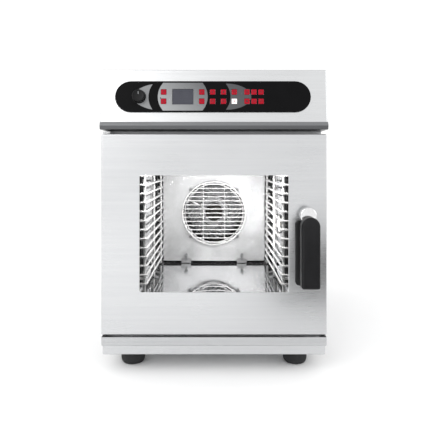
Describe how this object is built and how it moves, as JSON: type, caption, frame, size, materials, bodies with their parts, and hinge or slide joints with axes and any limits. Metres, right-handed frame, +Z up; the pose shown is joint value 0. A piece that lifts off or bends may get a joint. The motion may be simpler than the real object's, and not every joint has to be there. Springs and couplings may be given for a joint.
{
  "type": "combi steamer oven",
  "caption": "Compact combi steamer oven: side-hung glazed door with a turning lever, rear fan behind a wire guard, shelf racks, keypad with knob, short round feet.",
  "frame": {"origin": "on the floor under the middle of the outer box, handle and rear fittings included", "axes": "+X to the right of a person facing the door, +Y from the door to the rear cover, +Z up"},
  "size_m": [0.511, 0.89, 0.69],
  "materials": {
    "brushed_casing_steel": "fine brushed, satin",
    "shaded_steel": "satin, in shade",
    "polished_oven_steel": "bright rolled, near mirror",
    "bright_hardware": "polished",
    "black_moulded_plastic": "fine moulded grain",
    "black_control_plate": "smooth",
    "red_key": "smooth",
    "lit_key": "smooth",
    "seal_rubber": "matt",
    "clear_glass": "polished",
    "circuit_board": "satin",
    "cast_motor_housing": "cast",
    "brass_fitting": "turned"
  },
  "bodies": {
    "oven_body": {"base_tray": "brushed_casing_steel", "drip_gutter": "brushed_casing_steel", "left_side_panel": "brushed_casing_steel", "right_side_panel": "brushed_casing_steel", "top_cover": "brushed_casing_steel", "rear_cover": "brushed_casing_steel", "control_fascia": "brushed_casing_steel", "fascia_lip": "shaded_steel", "control_overlay": "black_control_plate", "display_board": "circuit_board", "foot_front_left": "seal_rubber", "foot_front_right": "seal_rubber", "foot_rear_left": "seal_rubber", "foot_rear_right": "seal_rubber", "hinge_bracket_top": "bright_hardware", "hinge_bracket_bottom": "bright_hardware", "latch_strike": "bright_hardware", "front_frame": "brushed_casing_steel", "door_gasket": "seal_rubber", "cavity_liner": "polished_oven_steel", "left_rack": "polished_oven_steel", "right_rack": "polished_oven_steel", "fan_baffle": "polished_oven_steel", "fan_guard": "polished_oven_steel", "fan_motor": "cast_motor_housing", "heating_element": "shaded_steel", "steam_injector": "polished_oven_steel", "wash_nozzle_mount": "polished_oven_steel", "cavity_lamp": "clear_glass", "vent_pipe": "bright_hardware", "drain_pipe": "black_moulded_plastic", "water_inlet": "brass_fitting", "cable_gland": "black_moulded_plastic"},
    "door": {"door_skin": "brushed_casing_steel", "door_outer_glass": "clear_glass", "door_inner_frame": "shaded_steel", "door_inner_glass": "clear_glass", "handle_backplate": "black_moulded_plastic"},
    "handle": {"handle_hub": "bright_hardware", "handle_lever": "black_moulded_plastic", "latch_spindle": "bright_hardware"},
    "fan": {"fan_wheel": "polished_oven_steel"},
    "spray_head": {"wash_spray_head": "polished_oven_steel"},
    "knob": {"control_knob": "black_control_plate"},
    "key_top_1": {"key_top_1": "red_key"},
    "key_top_2": {"key_top_2": "red_key"},
    "key_top_3": {"key_top_3": "red_key"},
    "key_top_4": {"key_top_4": "red_key"},
    "key_top_5": {"key_top_5": "red_key"},
    "key_top_6": {"key_top_6": "red_key"},
    "key_top_7": {"key_top_7": "red_key"},
    "key_top_8": {"key_top_8": "red_key"},
    "key_bottom_1": {"key_bottom_1": "red_key"},
    "key_bottom_2": {"key_bottom_2": "red_key"},
    "key_bottom_3": {"key_bottom_3": "red_key"},
    "key_bottom_4": {"key_bottom_4": "red_key"},
    "key_bottom_5": {"key_bottom_5": "lit_key"},
    "key_bottom_6": {"key_bottom_6": "red_key"},
    "key_bottom_7": {"key_bottom_7": "red_key"},
    "key_bottom_8": {"key_bottom_8": "red_key"}
  },
  "joints": [
    {"name": "door_swing", "type": "hinge", "parent": "oven_body", "child": "door", "pos_m": [-0.246, -0.36, 0.3167], "axis": [0, 0, -1], "range_deg": [0, 120]},
    {"name": "handle_turn", "type": "hinge", "parent": "door", "child": "handle", "pos_m": [0.207, -0.385, 0.362], "axis": [0, 1, 0], "range_deg": [0, 90]},
    {"name": "fan_spin", "type": "hinge", "parent": "oven_body", "child": "fan", "pos_m": [0, 0.255, 0.31], "axis": [0, 1, 0], "continuous": true},
    {"name": "spray_spin", "type": "hinge", "parent": "oven_body", "child": "spray_head", "pos_m": [0, -0.085, 0.47], "axis": [0, 0, 1], "continuous": true},
    {"name": "knob_turn", "type": "hinge", "parent": "oven_body", "child": "knob", "pos_m": [-0.1688, -0.3872, 0.6268], "axis": [0, -0.9941, 0.1085], "continuous": true},
    {"name": "key_top_1_press", "type": "slide", "parent": "oven_body", "child": "key_top_1", "axis": [0, 0.9941, -0.1085], "range_m": [0, 0.0008], "stiffness_N_per_m": 800},
    {"name": "key_top_2_press", "type": "slide", "parent": "oven_body", "child": "key_top_2", "axis": [0, 0.9941, -0.1085], "range_m": [0, 0.0008], "stiffness_N_per_m": 800},
    {"name": "key_top_3_press", "type": "slide", "parent": "oven_body", "child": "key_top_3", "axis": [0, 0.9941, -0.1085], "range_m": [0, 0.0008], "stiffness_N_per_m": 800},
    {"name": "key_top_4_press", "type": "slide", "parent": "oven_body", "child": "key_top_4", "axis": [0, 0.9941, -0.1085], "range_m": [0, 0.0008], "stiffness_N_per_m": 800},
    {"name": "key_top_5_press", "type": "slide", "parent": "oven_body", "child": "key_top_5", "axis": [0, 0.9941, -0.1085], "range_m": [0, 0.0008], "stiffness_N_per_m": 800},
    {"name": "key_top_6_press", "type": "slide", "parent": "oven_body", "child": "key_top_6", "axis": [0, 0.9941, -0.1085], "range_m": [0, 0.0008], "stiffness_N_per_m": 800},
    {"name": "key_top_7_press", "type": "slide", "parent": "oven_body", "child": "key_top_7", "axis": [0, 0.9941, -0.1085], "range_m": [0, 0.0008], "stiffness_N_per_m": 800},
    {"name": "key_top_8_press", "type": "slide", "parent": "oven_body", "child": "key_top_8", "axis": [0, 0.9941, -0.1085], "range_m": [0, 0.0008], "stiffness_N_per_m": 800},
    {"name": "key_bottom_1_press", "type": "slide", "parent": "oven_body", "child": "key_bottom_1", "axis": [0, 0.9941, -0.1085], "range_m": [0, 0.0008], "stiffness_N_per_m": 800},
    {"name": "key_bottom_2_press", "type": "slide", "parent": "oven_body", "child": "key_bottom_2", "axis": [0, 0.9941, -0.1085], "range_m": [0, 0.0008], "stiffness_N_per_m": 800},
    {"name": "key_bottom_3_press", "type": "slide", "parent": "oven_body", "child": "key_bottom_3", "axis": [0, 0.9941, -0.1085], "range_m": [0, 0.0008], "stiffness_N_per_m": 800},
    {"name": "key_bottom_4_press", "type": "slide", "parent": "oven_body", "child": "key_bottom_4", "axis": [0, 0.9941, -0.1085], "range_m": [0, 0.0008], "stiffness_N_per_m": 800},
    {"name": "key_bottom_5_press", "type": "slide", "parent": "oven_body", "child": "key_bottom_5", "axis": [0, 0.9941, -0.1085], "range_m": [0, 0.0008], "stiffness_N_per_m": 800},
    {"name": "key_bottom_6_press", "type": "slide", "parent": "oven_body", "child": "key_bottom_6", "axis": [0, 0.9941, -0.1085], "range_m": [0, 0.0008], "stiffness_N_per_m": 800},
    {"name": "key_bottom_7_press", "type": "slide", "parent": "oven_body", "child": "key_bottom_7", "axis": [0, 0.9941, -0.1085], "range_m": [0, 0.0008], "stiffness_N_per_m": 800},
    {"name": "key_bottom_8_press", "type": "slide", "parent": "oven_body", "child": "key_bottom_8", "axis": [0, 0.9941, -0.1085], "range_m": [0, 0.0008], "stiffness_N_per_m": 800}
  ]
}
